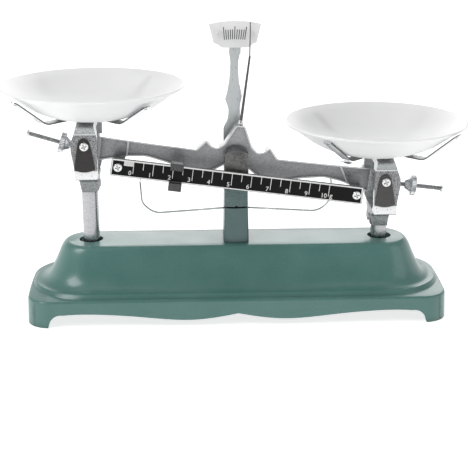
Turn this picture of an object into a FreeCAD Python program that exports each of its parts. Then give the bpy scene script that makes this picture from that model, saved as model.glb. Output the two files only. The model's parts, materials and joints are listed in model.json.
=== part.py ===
import FreeCAD, Part
import math
import os
from FreeCAD import Vector as V

os.makedirs("parts", exist_ok=True)

# ---------------------------------------------------------------- dimensions
# millimetres, degrees; +X to the right, +Y to the back, +Z up, floor at Z = 0
TILT = 7.6              # beam angle on its stop, right side down
KNIFE_Z = 97.3          # height of the centre knife edge
ARM = 96.74             # centre knife to end knife
LINK_Z = 20.0           # height of the check link pivot
# base casting
BASE_A, BASE_B = 135.2, 44.5                    # half length at the corners, half depth
CORNER_F, CORNER_B = 15.5, 32.0                 # corner radii, front and back
END_BULGE, DRAFT = 1.7, 0.5                     # the end walls curve outwards; the foot is a little wider
SKIRT_TOP = 17.5
LEDGE_Z = 20.0
BASE_TOP = 45.6
STEM_HOLE_X, STEM_HOLE_R = 96.3, 7.9
# pillar and fork
PILLAR_TOP = 70.2
PILLAR_W0, PILLAR_W1 = 8.3, 7.8                 # half widths, foot and top
PILLAR_D = 13.0                                 # half depth
FORK_HW = 6.2
FORK_IN, FORK_OUT = 6.2, 12.2
HOOD_L, HOOD_R = -7.4, 7.9                       # sides of the bearing hoods
# beam
RIM_Y, WEB_Y, RIM_W = 4.2, 2.9, 1.0
PEAK = 25.2                                      # top of the beam's middle peak
BAR_Y0, BAR_Y1 = -19.6, -17.6                   # scale bar, front and back
BAR_U0, BAR_U1 = -80.4, 83.9                     # at its lower edge; the ends lean inwards
BAR_V0, BAR_V1 = -13.7, -2.2
BAR_SCREW_U = (-75.6, 79.5)
BAR_SCREW_V = -7.9
SCALE_U0, SCALE_STEP = -65.7, 12.69             # zero mark and one gram
RIDER_U = -38.1
ROD_R = 1.45
LEFT_ROD_RISE = 9.5                             # left rod stands this much above the beam line
# carriers
ARM_Y0, ARM_Y1 = 26.0, 21.0                     # outer and inner face of the loop's arms
SCREW_DZ = 5.0
LOOP_TOP = 19.0
CROSS_T = 0.9
STEM_R = 5.4
# pans
PAN_R = 60.0
PAN_SHIFT = 4.2                                 # towards the middle, from the carrier centre
PAN_T = 1.7

TH = math.radians(TILT)
CX, CZ = ARM * math.cos(TH), ARM * math.sin(TH)
RK = V(CX, 0, KNIFE_Z - CZ)                     # right end knife edge
LK = V(-CX, 0, KNIFE_Z + CZ)                    # left end knife edge
RL = V(CX, 0, LINK_Z - CZ)                      # right link pin
LL = V(-CX, 0, LINK_Z + CZ)                     # left link pin
X, Y, Z, O = V(1, 0, 0), V(0, 1, 0), V(0, 0, 1), V(0, 0, 0)


# ------------------------------------------------------------------- helpers
def box(x0, x1, y0, y1, z0, z1):
    return Part.makeBox(x1 - x0, y1 - y0, z1 - z0, V(x0, y0, z0))


def cyl(p, d, r, h):
    return Part.makeCylinder(r, h, p, d)


def corner_path(pts, closed=True):
    """Edges of a polyline through (point, radius) corners, rounded by tangent arcs."""
    n = len(pts)
    ends = []
    for i, (p, r) in enumerate(pts):
        if (not closed and i in (0, n - 1)) or r <= 0:
            ends.append((p, None, p))
            continue
        a, b = pts[(i - 1) % n][0], pts[(i + 1) % n][0]
        da, db = (a - p), (b - p)
        la, lb = da.Length, db.Length
        da, db = da.normalize(), db.normalize()
        ang = da.getAngle(db)
        if ang > math.pi - 1e-3:
            ends.append((p, None, p))
            continue
        t = min(r / math.tan(ang / 2), 0.49 * la, 0.49 * lb)
        r = t * math.tan(ang / 2)
        p0, p1 = p + da * t, p + db * t
        bis = (da + db).normalize()
        c = p + bis * (r / math.sin(ang / 2))
        ends.append((p0, c - bis * r, p1))
    edges = []
    for i in range(n):
        p0, m, p1 = ends[i]
        if m is not None:
            edges.append(Part.Arc(p0, m, p1).toShape())
        if i == n - 1 and not closed:
            break
        q = ends[(i + 1) % n][0]
        if (q - p1).Length > 1e-6:
            edges.append(Part.LineSegment(p1, q).toShape())
    return Part.Wire(edges)


def face_xz(pts, y=0.0):
    return Part.Face(corner_path([(V(p[0], y, p[1]), p[2] if len(p) > 2 else 0) for p in pts]))


def prism_y(pts, y0, y1):
    return face_xz(pts, y0).extrude(V(0, y1 - y0, 0))


def prism_x(pts, x0, x1):
    f = Part.Face(corner_path([(V(x0, p[0], p[1]), p[2] if len(p) > 2 else 0) for p in pts]))
    return f.extrude(V(x1 - x0, 0, 0))


def prism_z(pts, z0, z1):
    f = Part.Face(corner_path([(V(p[0], p[1], z0), p[2] if len(p) > 2 else 0) for p in pts]))
    return f.extrude(V(0, 0, z1 - z0))


def rrect(a, b, r, z):
    r = min(r, a - 1, b - 1)
    return corner_path([(V(-a, -b, z), r), (V(a, -b, z), r), (V(a, b, z), r), (V(-a, b, z), r)])


def rprism(a, b, r, z0, z1):
    return Part.Face(rrect(a, b, r, z0)).extrude(V(0, 0, z1 - z0))


def fuse(*s):
    out = s[0]
    for t in s[1:]:
        out = out.fuse(t)
    return out.removeSplitter()


def tilt(s):
    """From the beam's own frame (u, y, v; centre knife edge at 0) to its place at rest."""
    s = s.copy()
    s.rotate(O, Y, TILT)
    s.translate(V(0, 0, KNIFE_Z))
    return s


def at(s, p):
    s = s.copy()
    s.translate(p)
    return s


def flip(s):
    return s.mirror(O, X)


def soft(s, r, pick):
    """Fillet the edges that pick() chooses; the sharp shape is kept if one fails."""
    es = [e for e in s.Edges if pick(e)]
    if not es:
        return s
    try:
        t = s.makeFillet(r, es)
        if t.isValid() and t.Volume > 0:
            return t
    except Exception as err:
        print("fillet skipped:", err)
    return s


def pan_head(p, d, r, h, shank_r, shank_l, slot=0.6):
    """Cross-head screw: domed head standing from p along d, shank the other way."""
    d = V(d).normalize()
    s = Part.makeCylinder(r, h, O, Z)
    s = soft(s, h * 0.7, lambda e: abs(e.BoundBox.ZMin - h) < 1e-6 and len(e.Vertexes) < 2)
    w, l = 0.36 * slot / 0.6, r * 0.58
    for a in (0, 90):
        b = box(-l, l, -w, w, h - slot, h + 1)
        b.rotate(O, Z, a + 20)
        s = s.cut(b)
    s = s.fuse(Part.makeCylinder(shank_r, shank_l, V(0, 0, -shank_l), Z)).removeSplitter()
    m = FreeCAD.Placement(p, FreeCAD.Rotation(Z, d)).toMatrix()
    return s.transformGeometry(m) if False else s.transformed(m)


NODES = []


def out(name, *shapes):
    shp = shapes[0] if len(shapes) == 1 else Part.makeCompound(list(shapes))
    solids = shp.Solids
    ok = all(s.isValid() and s.isClosed() for s in solids)
    NODES.append(name)
    bb = shp.BoundBox
    print("%-22s solids %d vol %9.1f ok %s  x %.1f..%.1f y %.1f..%.1f z %.1f..%.1f" % (
        name, len(solids), shp.Volume, ok, bb.XMin, bb.XMax, bb.YMin, bb.YMax, bb.ZMin, bb.ZMax))
    shp.exportStep("parts/%s.step" % name)


# ----------------------------------------------------------------- the base
HUMP = [  # z, half length, half depth, corner radius
    (19.9, 131.5, 36.6, 35.5), (20.8, 128.6, 33.6, 32.4), (22.6, 125.8, 30.9, 29.0),
    (27.6, 122.4, 26.6, 24.6), (34.5, 119.0, 23.3, 21.4), (40.6, 116.4, 20.9, 19.2),
    (43.9, 114.3, 19.1, 17.6), (BASE_TOP, 111.0, 16.0, 14.6)]
LEDGE = [(12.0, 135.4, 40.8, 37.5), (17.3, 135.4, 40.8, 37.5), (19.2, 134.8, 39.6, 38.0), (LEDGE_Z, 133.9, 38.8, 37.6)]
WALL = 3.0


def hump(sections):
    return Part.makeLoft([rrect(a, b, r, z) for z, a, b, r in sections], True, False)




def skirt_wire(grow, z):
    a, b = BASE_A + grow, BASE_B + grow
    return Part.Wire([Part.LineSegment(V(-a, -b, z), V(a, -b, z)).toShape(),
                      Part.Arc(V(a, -b, z), V(a + END_BULGE, 0, z), V(a, b, z)).toShape(),
                      Part.LineSegment(V(a, b, z), V(-a, b, z)).toShape(),
                      Part.Arc(V(-a, b, z), V(-a - END_BULGE, 0, z), V(-a, -b, z)).toShape()])


def skirt_block(g0, g1, z0, z1, rf, rb):
    """Drafted block with curved ends; front corners of radius rf, back corners rb."""
    s = Part.makeLoft([skirt_wire(g0, z0), skirt_wire(g1, z1)], True, True)
    s = s.makeFillet(rf, [e for e in s.Edges if e.BoundBox.ZLength > z1 - z0 - 0.1 and e.BoundBox.YMax < 0])
    return s.makeFillet(rb, [e for e in s.Edges if e.BoundBox.ZLength > z1 - z0 - 0.1 and e.BoundBox.YMin > b_min(g1)])


def b_min(g):
    return BASE_B + g - 2.0


skirt = skirt_block(DRAFT, 0, 0, SKIRT_TOP, CORNER_F, CORNER_B)
skirt = soft(skirt, 1.5, lambda e: abs(e.BoundBox.ZMin - SKIRT_TOP) < 1e-6)
ledge = Part.makeLoft([rrect(a, b, r, z) for z, a, b, r in LEDGE], True, True)
body = hump(HUMP)
base = skirt.fuse(ledge).fuse(body)
# the hollow underneath
cav = skirt_block(-WALL, -WALL, -1, SKIRT_TOP - WALL - 0.4, CORNER_F - WALL, CORNER_B - WALL)
inner = [(z - 3.0, a - 3.0, b - 3.0, max(r - 3.0, 6)) for z, a, b, r in HUMP]
inner[0] = (12.0, 130.6, 35.4, 32.0)
inner[1] = (16.4, 127.6, 32.6, 30.2)
cav = cav.fuse(hump(inner))
base = base.cut(cav)
# scalloped lower edge, long sides: cusp in the middle, feet at the corners
edge = [(0, 8.2), (9, 6.5), (28, 4.3), (46, 4.9), (66, 7.0), (88, 8.6), (104, 8.9), (113, 8.4)]
sp = Part.BSplineCurve()
sp.interpolate([V(x, -60, z) for x, z in edge])
half = [sp.toShape(),
        Part.Arc(V(113, -60, 8.4), V(119.2, -60, 6.6), V(121.6, -60, 2.6)).toShape(),
        Part.LineSegment(V(121.6, -60, 2.6), V(122.6, -60, -1)).toShape(),
        Part.LineSegment(V(122.6, -60, -1), V(0, -60, -1)).toShape(),
        Part.LineSegment(V(0, -60, -1), V(0, -60, 8.2)).toShape()]
scallop = Part.Face(Part.Wire(half)).extrude(V(0, 120, 0))
scallop = scallop.fuse(flip(scallop)).removeSplitter()
base = base.cut(scallop)
# end walls: a shallow arch between the feet
arch = prism_x([(-31, -1), (-30, 3.5, 3), (-22, 6.5, 8), (14, 6.5, 8), (22, 3.5, 3), (23, -1)], -150, 150)
base = base.cut(arch)
for sx in (-1, 1):
    base = base.cut(cyl(V(sx * STEM_HOLE_X, 0, 30), Z, STEM_HOLE_R, 30))
for sy in (-1, 1):
    base = base.cut(cyl(V(0, sy * 8.5, 35), Z, 2.3, 20))
for sx in (-1, 1):
    base = base.cut(cyl(V(sx * 11.0, 0, 35), Z, 1.3, 9.2))
out("base_casting", base)

# ------------------------------------------------------------------- pillar


def pillar_wire(w, d, z):
    """Rounded block, its front and back faces convex."""
    c = 3.2
    pts = [V(-w, -(d - c), z), V(-w + 0.9, -(d - 1.2), z), V(-w * 0.55, -(d - 0.35), z), V(0, -d, z),
           V(w * 0.55, -(d - 0.35), z), V(w - 0.9, -(d - 1.2), z), V(w, -(d - c), z)]
    f = Part.BSplineCurve()
    f.interpolate(pts)
    b = Part.BSplineCurve()
    b.interpolate([V(p.x, -p.y, z) for p in reversed(pts)])
    return Part.Wire([f.toShape(), Part.LineSegment(V(w, -(d - c), z), V(w, d - c, z)).toShape(),
                      b.toShape(), Part.LineSegment(V(-w, d - c, z), V(-w, -(d - c), z)).toShape()])


pillar = Part.makeLoft([pillar_wire(PILLAR_W0, PILLAR_D + 0.4, BASE_TOP),
                        pillar_wire(PILLAR_W1, PILLAR_D, PILLAR_TOP - 1.1)], True, True)
pillar = pillar.fuse(Part.makeLoft([pillar_wire(PILLAR_W1 - 1.0, PILLAR_D - 1.0, PILLAR_TOP - 2.0),
                                    pillar_wire(PILLAR_W1 - 1.0, PILLAR_D - 1.0, PILLAR_TOP)], True, True))
for sy in (-1, 1):
    pillar = pillar.cut(cyl(V(0, sy * 8.5, BASE_TOP - 1), Z, 2.0, 14))
pillar = pillar.cut(cyl(V(0, 0, 52), Z, 3.0, 30))
# shallow groove in the top face that the stop wire lies in
pillar = pillar.cut(box(-9, 9, -11.3, -9.7, PILLAR_TOP - 1.95, PILLAR_TOP + 1))
pillar = pillar.removeSplitter()
out("pillar", pillar)
out("pillar_bolts", *[pan_head(V(0, sy * 8.5, BASE_TOP - 3.0), V(0, 0, -1), 3.0, 2.4, 1.9, 15.0, 1.0) for sy in (-1, 1)])

# --------------------------------------------------------------------- fork
fork = Part.makeLoft([pillar_wire(PILLAR_W1, PILLAR_D, PILLAR_TOP), pillar_wire(PILLAR_W1 - 0.2, PILLAR_D, 82.0)], True, True)
KB = KNIFE_Z - 4.5                              # floor of the bearing seats
for sy in (-1, 1):
    y0, y1 = sorted((sy * FORK_IN, sy * FORK_OUT))
    arm = box(-FORK_HW, FORK_HW, y0, y1, 81.0, KNIFE_Z + 4.2)
    fork = fork.fuse(arm)
fork = fork.cut(box(-10, 10, -FORK_IN, FORK_IN, 78.5, 120))
fork = fork.cut(prism_y([(-1.6, PILLAR_TOP - 1), (0, PILLAR_TOP + 1.3), (1.6, PILLAR_TOP - 1)], -15, -11.6))
for sy in (-1, 1):
    y0, y1 = sorted((sy * (FORK_IN - 1), sy * (FORK_OUT - 0.4)))
    fork = fork.cut(box(-3.0, 3.0, y0, y1, KB, 120))
fork = fork.cut(cyl(V(0, 0, 60), Z, 2.6, 30))
fork = fork.cut(cyl(V(0, 0, 75.5), Z, 4.3, 6))
for z in (74.0, 79.5):
    fork = fork.cut(cyl(V(0, 9, z), Y, 1.25, 6))
fork = fork.removeSplitter()
out("bearing_fork", fork)
out("fork_screw", pan_head(V(0, 0, 75.5), Z, 4.0, 2.6, 2.5, 22.0, 1.2))



def arch_face(y, x0, x1, apex, rise, z0):
    a, b = V(x0, y, apex - rise), V(x1, y, apex - rise)
    return Part.Wire([Part.Arc(a, V((x0 + x1) / 2, y, apex), b).toShape(), Part.LineSegment(b, V(x1, y, z0)).toShape(),
                      Part.LineSegment(V(x1, y, z0), V(x0, y, z0)).toShape(), Part.LineSegment(V(x0, y, z0), a).toShape()])


hoods = []
for sy in (-1, 1):
    # arched roof that rises to the back, with a thin lip along its rear edge
    h = Part.makeLoft([arch_face(-13.3, HOOD_L, HOOD_R, KNIFE_Z + 9.2, 1.7, 85.0),
                       arch_face(-6.9, HOOD_L, HOOD_R, KNIFE_Z + 10.4, 3.2, 85.0)], True, True)
    lip = Part.Face(arch_face(-6.9, HOOD_L, HOOD_R, KNIFE_Z + 11.6, 3.6, 85.0)).extrude(V(0, 0.8, 0))
    h = h.fuse(lip)
    h = h.cut(prism_y([(HOOD_L + 1.1, 84), (HOOD_L + 1.1, KNIFE_Z + 6.5, 1.5), (HOOD_R - 1.1, KNIFE_Z + 6.5, 1.5),
                       (HOOD_R - 1.1, 84)], -12.25, -5.0)).removeSplitter()
    if sy > 0:
        h = h.mirror(O, Y)
    hoods.append(h)
out("bearing_hoods", *hoods)

vb = []
for sy in (-1, 1):
    y0, y1 = sorted((sy * 6.7, sy * (FORK_OUT - 0.4)))
    b = box(-3.0, 3.0, y0, y1, KB, KNIFE_Z + 1.6)
    g = 1.8 * math.tan(math.radians(58))
    b = b.cut(prism_y([(0, KNIFE_Z - 0.04), (g, KNIFE_Z + 1.76), (-g, KNIFE_Z + 1.76)], y0 - 1, y1 + 1))
    vb.append(b)
out("centre_bearings", *vb)

# ---------------------------------------------------------------- stop wire
WR = 0.55


def tube(path, r):
    w = corner_path(path, closed=False)
    p0 = path[0][0]
    d = (path[1][0] - p0).normalize()
    ring = Part.Wire([Part.Circle(p0, d, r).toShape()])
    return w.makePipeShell([ring], True, False)


wz = PILLAR_TOP - 0.65
wx = 63.0
zb = KNIFE_Z - 64.3 * math.sin(TH) - 3.0 * math.cos(TH)    # underside of the beam where the wire meets it
# the wire rises, turns back and ends in a short level finger under the beam
half_path = [(V(0, -10.5, wz), 0), (V(54.0, -9.8, 65.9), 15), (V(61.6, -8.2, 72.4), 7), (V(62.6, -5.6, zb - WR - 0.12), 3.4),
             (V(62.8, 3.4, zb - WR - 0.12), 0)]
wr = tube(half_path, WR)
wl = flip(wr)
wire = wr.fuse(wl).removeSplitter()
out("stop_wire", wire)

# -------------------------------------------------------------- dial column
left = [(-7.5, 71.0), (-7.5, 117.2), (-5.0, 122.0), (-4.2, 125.9), (-4.1, 129.7), (-4.9, 132.4), (-6.3, 136.2),
        (-4.9, 140.9), (-3.6, 148.5), (-3.0, 154.4), (-2.8, 161.0), (-3.7, 167.2)]
right = [(7.3, 71.0), (7.3, 117.2), (4.8, 122.0), (3.6, 126.0), (3.4, 130.8), (3.9, 134.0), (4.9, 138.0), (4.0, 142.5),
         (2.9, 147.5), (2.4, 154.4), (2.4, 161.0), (3.7, 167.2)]


def rounds(pts):
    r = []
    for i, (x, z) in enumerate(pts):
        r.append((x, z, 0 if i in (0, len(pts) - 1) else (1.0 if abs(z - 136.2) < 0.1 else 6.0)))
    return r


CY0, CY1 = 13.35, 14.55
col = prism_y(rounds(left) + list(reversed(rounds(right))), CY0, CY1)
DIAL_Y0, DIAL_Y1 = 4.4, 6.0                     # dial plate, front and back
shelf = box(-3.7, 3.7, DIAL_Y1 + 0.0, CY1, 167.2, 168.4)
head = prism_y([(-3.7, 167.2), (3.7, 167.2), (3.7, 172.6, 1), (12.6, 175.6, 1.5), (13.6, 184.0, 2), (-13.6, 184.0, 2),
                (-12.6, 175.6, 1.5), (-3.7, 172.6, 1)], DIAL_Y1, DIAL_Y1 + 1.2)
col = fuse(col, shelf, head)
SCREW_X, SCREW_Z = 10.4, 180.3
for sx in (-1, 1):
    col = col.cut(cyl(V(sx * SCREW_X, 0, SCREW_Z), Y, 1.0, 20))
for z in (74.0, 79.5):
    col = col.cut(cyl(V(0, 10, z), Y, 1.5, 10))
out("dial_column", col)
out("column_screws", *[pan_head(V(0, CY1, z), Y, 2.6, 1.3, 1.2, 5.0) for z in (74.0, 79.5)])

top = Part.Arc(V(-16.8, DIAL_Y0, 186.7), V(0, DIAL_Y0, 188.6), V(16.8, DIAL_Y0, 186.7)).toShape()


def s_side(sx):
    s = Part.BSplineCurve()
    s.interpolate([V(sx * 13.8, DIAL_Y0, 174.4), V(sx * 12.0, DIAL_Y0, 174.0), V(sx * 10.2, DIAL_Y0, 172.7), V(sx * 7.4, DIAL_Y0, 171.5)])
    return s.toShape()


dial = Part.Wire([top, Part.LineSegment(V(16.8, DIAL_Y0, 186.7), V(13.8, DIAL_Y0, 174.4)).toShape(), s_side(1),
                  Part.LineSegment(V(7.4, DIAL_Y0, 171.5), V(-7.4, DIAL_Y0, 171.5)).toShape(), s_side(-1),
                  Part.LineSegment(V(-13.8, DIAL_Y0, 174.4), V(-16.8, DIAL_Y0, 186.7)).toShape()])
dial = Part.Face(dial).extrude(V(0, DIAL_Y1 - DIAL_Y0, 0))
for sx in (-1, 1):
    dial = dial.cut(cyl(V(sx * SCREW_X, 0, SCREW_Z), Y, 1.05, 20))
out("dial_plate", dial)
out("dial_screws", *[pan_head(V(sx * SCREW_X, DIAL_Y0, SCREW_Z), V(0, -1, 0), 1.9, 0.8, 0.95, 3.6, 0.4) for sx in (-1, 1)])

# ------------------------------------------------------------ link hanger
ceil = BASE_TOP - 3.0
br = box(-15, 15, -5.0, 5.0, ceil - 1.8, ceil)
for sy in (-1, 1):
    y0, y1 = sorted((sy * 2.1, sy * 4.1))
    br = br.fuse(prism_y([(-7.5, ceil - 1), (7.5, ceil - 1), (4.8, 15.2, 4.4), (-4.8, 15.2, 4.4)], y0, y1))
br = br.cut(cyl(V(0, -10, LINK_Z), Y, 2.0, 20))
for sx in (-1, 1):
    br = br.cut(cyl(V(sx * 11, 0, 30), Z, 1.6, 20))
out("link_hanger", br.removeSplitter())
out("hanger_screws", *[pan_head(V(sx * 11, 0, ceil - 1.8), V(0, 0, -1), 2.4, 1.4, 1.25, 3.4) for sx in (-1, 1)])
pin = fuse(cyl(V(0, -4.1, LINK_Z), Y, 2.0, 9.4), cyl(V(0, -5.3, LINK_Z), Y, 3.0, 1.2))
out("link_pivot_pin", pin)

link = prism_y([(-ARM, -4.0), (-8, -4.6), (8, -4.6), (ARM, -4.0), (ARM, 4.0), (8, 4.6), (-8, 4.6), (-ARM, 4.0)], -1.5, 1.5)
for u, r in ((-ARM, 4.6), (0, 6.0), (ARM, 4.6)):
    link = link.fuse(cyl(V(u, -1.5, 0), Y, r, 3.0))
for u, r in ((-ARM, 1.56), (0, 2.06), (ARM, 1.56)):
    link = link.cut(cyl(V(u, -5, 0), Y, r, 10))
link = link.removeSplitter()
link.rotate(O, Y, TILT)
link.translate(V(0, 0, LINK_Z))
out("check_link", link)

# --------------------------------------------------------------------- beam
NEEDLE_R, NEEDLE_R1 = 0.95, 0.66                 # pointer radius at its foot and at its bend
H = [(2.9, PEAK, 2.4), (9.2, 11.8, 2.6), (13.2, 8.5, 3.0), (17.4, 9.6, 4.0), (20.9, 12.9, 0.7), (26.6, 6.1, 2.0),
     (60.0, 6.6, 0), (103.5, 7.7, 1.6), (103.5, -9.6, 2.0), (92.6, -9.8, 5), (80.0, -6.4, 14), (70.0, -3.7, 20), (58.5, -2.3, 18),
     (44.0, -5.0, 20), (34.0, -7.6, 16), (19.0, -8.4, 8), (12.4, -5.4, 6), (6.8, -1.4, 5), (3.4, 1.9, 2.4)]
outline = [(u, v, r) for u, v, r in H] + [(-u, v, r) for u, v, r in reversed(H)]
F = face_xz(outline, -RIM_Y)
beam = F.extrude(V(0, 2 * RIM_Y, 0))
try:
    G = F.makeOffset2D(-RIM_W)
    pocket = G.extrude(V(0, RIM_Y - WEB_Y, 0))
    keep = cyl(V(0, -10, 4.6), Y, 7.0, 20)                                 # boss around the centre knife
    keep = keep.fuse(box(88.5, 110, -10, 10, -20, 20)).fuse(box(-110, -88.5, -10, 10, -20, 20))
    keep = keep.fuse(box(-71.6, -70.4, -10, 10, -20, 20))                  # cross rib, left arm
    keep = keep.fuse(prism_y([(66.4, 9), (67.8, 9), (77.4, -8), (76.0, -8)], -10, 10))   # slanted rib, right arm
    keep = keep.fuse(cyl(V(-75.6, -WEB_Y - 0.4, 1.7), Y, 4.0, 2 * WEB_Y + 0.8))          # round boss, left arm
    keep = keep.fuse(prism_y([(74.4 - 3.4, 1.7), (74.4, 5.7), (74.4 + 3.4, 1.7), (74.4, -2.3)],
                             -WEB_Y - 0.5, WEB_Y + 0.5))                                 # lozenge boss, right arm
    front = pocket.cut(keep)
    back = pocket.mirror(O, Y).cut(keep)
    beam = beam.cut(front).cut(back)
except Exception as err:
    print("web pockets skipped:", err)
# lugs that carry the scale bar
for u in BAR_SCREW_U:
    lug = prism_y([(u - 3.8, -11.6, 2), (u + 3.8, -11.6, 2), (u + 3.8, -4.4), (u - 3.8, -4.4)], BAR_Y1, 3.4)
    beam = beam.fuse(lug)
KN = [(0, 0), (2.0, 3.6), (2.0, 5.6), (-2.0, 5.6), (-2.0, 3.6)]
EK = [(0, 0), (2.3, -4.0), (2.3, -5.5), (-2.3, -5.5), (-2.3, -4.0)]
beam = beam.cut(prism_y(KN, -12, 12))
for u in (-ARM, ARM):
    beam = beam.cut(prism_y([(u + p[0], p[1]) for p in EK], -12, 12))
for u in BAR_SCREW_U:
    beam = beam.cut(cyl(V(u, BAR_Y1 - 1, BAR_SCREW_V), Y, 1.3, 9.0))
beam = beam.cut(cyl(V(0, 0, 18.6), Z, NEEDLE_R + 0.02, 20))
# sockets of the adjusting rods
la = math.radians(LEFT_ROD_RISE)
LD = V(-math.cos(la), 0, math.sin(la))
LP, RP = V(-103.5, 0, -2.6), V(103.5, 0, -1.9)
beam = beam.cut(cyl(LP - LD * 3.5, LD, ROD_R - 0.15, 6))
beam = beam.cut(cyl(RP - X * 3.5, X, ROD_R - 0.15, 6))
TW_U, TW_R, TW_T = 74.4, 6.0, 5.41                   # trim weight on the back of the right arm
beam = beam.cut(cyl(V(TW_U, -10, 1.7), Y, 1.2, 20))
beam = beam.removeSplitter()
out("beam_casting", tilt(beam))

out("centre_knife", tilt(prism_y(KN, -11.5, 11.5)))
for name, u in (("left_end_knife", -ARM), ("right_end_knife", ARM)):
    out(name, tilt(prism_y([(u + p[0], p[1]) for p in EK], -25.6, 25.6)))
trim = fuse(cyl(V(TW_U, RIM_Y, 1.7), Y, TW_R, TW_T), cyl(V(TW_U, -WEB_Y - 0.5, 1.7), Y, 1.2, 12),
            cyl(V(TW_U, -WEB_Y - 1.0, 1.7), Y, 1.9, 0.5))
out("trim_weight", tilt(trim))

bar = prism_y([(BAR_U0 + 0.4, BAR_V1, 1.0), (BAR_U1 - 0.6, BAR_V1, 1.0), (BAR_U1, BAR_V0, 1.0), (BAR_U0, BAR_V0, 1.0)], BAR_Y0, BAR_Y1)
for u in BAR_SCREW_U:
    bar = bar.cut(cyl(V(u, BAR_Y0 - 1, BAR_SCREW_V), Y, 1.5, 4))
out("scale_bar", tilt(bar))
out("scale_screws", *[tilt(pan_head(V(u, BAR_Y0, BAR_SCREW_V), V(0, -1, 0), 2.9, 1.1, 1.25, 8.0)) for u in BAR_SCREW_U])

# pointer: a needle with a ferrule in the beam's peak, thin and bent near its tip
ferrule = fuse(cyl(V(0, 0, PEAK), Z, 1.9, 1.3), Part.makeCone(1.7, 1.2, 1.6, V(0, 0, PEAK + 1.3), Z))
ferrule = ferrule.cut(cyl(V(0, 0, 20), Z, NEEDLE_R + 0.02, 20))
out("pointer_ferrule", tilt(ferrule))
k = V(0, 0, 69.8)
tip = V(-2.5, 0, 91.6)
needle = Part.Face(Part.Wire([
    Part.LineSegment(V(0, 0, 19.0), V(NEEDLE_R, 0, 19.0)).toShape(),
    Part.LineSegment(V(NEEDLE_R, 0, 19.0), V(NEEDLE_R, 0, 28.4)).toShape(),
    Part.LineSegment(V(NEEDLE_R, 0, 28.4), V(NEEDLE_R1, 0, 69.8)).toShape(),
    Part.Arc(V(NEEDLE_R1, 0, 69.8), V(NEEDLE_R1 * math.sin(0.8), 0, 69.8 + NEEDLE_R1 * math.cos(0.8)),
             V(0, 0, 69.8 + NEEDLE_R1)).toShape(),
    Part.LineSegment(V(0, 0, 69.8 + NEEDLE_R1), V(0, 0, 19.0)).toShape()])).revolve(O, Z, 360)
if needle.Volume < 0:
    needle.reverse()
d = tip - k
needle = needle.fuse(Part.makeCone(0.42, 0.3, d.Length, k, d))
out("pointer", tilt(needle.removeSplitter()))

# adjusting rods and their nuts


def rod(p, d, l):
    s = fuse(cyl(p - d * 3.4, d, ROD_R - 0.16, 4), cyl(p, d, ROD_R, l))
    hd = Part.makeCylinder(2.5, 2.0, O, Z)
    hd = soft(hd, 0.8, lambda e: len(e.Vertexes) < 2 and e.BoundBox.ZMin > 1)
    hd = hd.cut(box(-1.4, 1.4, -0.25, 0.25, 1.4, 3)).cut(box(-0.25, 0.25, -1.4, 1.4, 1.4, 3))
    hd = hd.transformed(FreeCAD.Placement(p + d * l, FreeCAD.Rotation(Z, d)).toMatrix())
    return s.fuse(hd).removeSplitter()


RD = V(math.cos(math.radians(0.6)), 0, math.sin(math.radians(0.6)))
out("left_adjusting_rod", tilt(rod(LP, LD, 31.8)))
out("right_adjusting_rod", tilt(rod(RP, RD, 34.0)))


def nut(p, d):
    """Cone hub towards the beam, knurled disc outside; bore with running clearance."""
    r, h = 6.7, 3.7
    s = Part.makeCone(2.6, 4.9, 3.6, O, Z).fuse(Part.makeCylinder(r, h, V(0, 0, 3.6), Z))
    n = 30
    for i in range(n):
        a = 2 * math.pi * i / n
        s = s.cut(Part.makeCylinder(0.42, h + 2, V((r + 0.12) * math.cos(a), (r + 0.12) * math.sin(a), 2.8), Z))
    s = s.cut(Part.makeCylinder(ROD_R + 0.06, 12, V(0, 0, -1), Z))
    return s.transformed(FreeCAD.Placement(p, FreeCAD.Rotation(Z, d)).toMatrix())


LN, RN = LP + LD * 4.6, RP + RD * 9.9
out("left_nut", tilt(nut(LN, LD)))
out("right_nut", tilt(nut(RN, RD)))

# rider: a block around the scale bar, open in front below its lip
hw = 4.2
c = 0.12
rd = prism_y([(-hw, BAR_V0 - 4.82, 0.6), (hw, BAR_V0 - 4.82, 0.6), (hw, -0.1, 0.6), (-hw, -0.1, 0.6)], -23.0, -14.3)
rd = rd.cut(box(-9, 9, BAR_Y0 - c, BAR_Y1 + c, BAR_V0 - c, BAR_V1 + c))
rd = rd.cut(box(-9, 9, -30, BAR_Y0, BAR_V0 + 0.6, -4.9))
rd.translate(V(RIDER_U, 0, 0))
out("rider", tilt(rd))

# ----------------------------------------------------------------- carriers
# x outwards from the knife edge, z from the knife edge
loop_out = [(-26.0, -17.3, 1.2), (-19.0, -17.9, 3), (-9.0, -22.0, 3), (-6.4, -30.6, 1), (6.4, -30.6, 1), (13.0, -29.4, 4),
            (25.0, -23.0, 3), (26.0, -16.0, 2), (26.0, 12.3), (27.0, 12.3), (27.0, 13.4, 0.5), (25.0, 16.6, 4),
            (17.0, LOOP_TOP - 0.6, 6), (10.5, LOOP_TOP, 2), (-10.5, LOOP_TOP, 2), (-17.0, LOOP_TOP - 0.6, 6),
            (-25.0, 16.6, 4), (-27.0, 13.4, 0.5), (-27.0, 12.3), (-26.0, 12.3)]
loop_in = [(-21.0, -12.0, 3), (-13.0, -17.2, 4), (11.0, -17.6, 4), (21.0, -16.5, 3), (21.0, 10.6, 3.5), (14.5, 14.6, 4),
           (-14.5, 14.6, 4), (-21.0, 10.6, 3.5)]
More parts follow.
